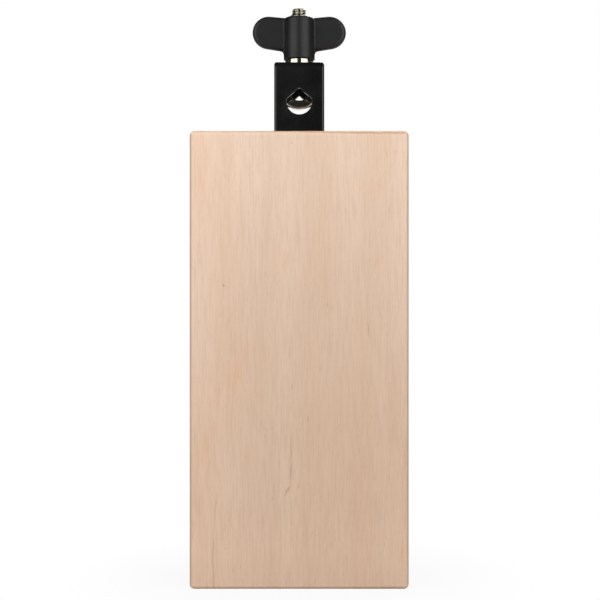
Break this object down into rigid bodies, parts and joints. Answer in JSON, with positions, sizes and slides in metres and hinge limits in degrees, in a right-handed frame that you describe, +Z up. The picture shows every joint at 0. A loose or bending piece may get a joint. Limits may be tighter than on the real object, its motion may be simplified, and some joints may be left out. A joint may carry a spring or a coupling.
{
  "type": "percussion block",
  "caption": "Hollow wooden percussion block with an open mouth and a bent steel bracket whose wing nut draws an eye bolt up to clamp a mounting rod.",
  "frame": {"origin": "on the plane of the open mouth, in the middle of the object's width and depth", "axes": "+Z up from the mouth to the closed end and the clamp, -Y out of the playing board, +X to the right as the player sees the board"},
  "size_m": [0.11, 0.0552, 0.2987],
  "materials": {
    "wood": "sanded, thin clear satin lacquer",
    "black_coat": "satin black powder coat",
    "plated_steel": "bright nickel plate",
    "black_plastic": "moulded, satin"
  },
  "bodies": {
    "block": {"front_panel": "wood", "back_panel": "wood", "left_side": "wood", "right_side": "wood", "end_block": "wood", "bracket": "black_coat", "bracket_screws": "black_coat", "clamp_washer": "plated_steel"},
    "wing_nut": {"wing_grip": "black_plastic", "thread_bush": "plated_steel"},
    "eye_bolt": {"eye_bolt": "plated_steel"}
  },
  "joints": [
    {"name": "wing_nut_turn", "type": "hinge", "parent": "block", "child": "wing_nut", "pos_m": [0, 0.00995, 0.272], "axis": [0, 0, 1], "range_deg": [0, 2520]},
    {"name": "eye_bolt_drop", "type": "slide", "parent": "block", "child": "eye_bolt", "axis": [0, 0, -1], "range_m": [0, 0.00875]}
  ],
  "couplings": [
    {"joint": "eye_bolt_drop", "follows": "wing_nut_turn", "m_per_rad": 0.00019894}
  ]
}
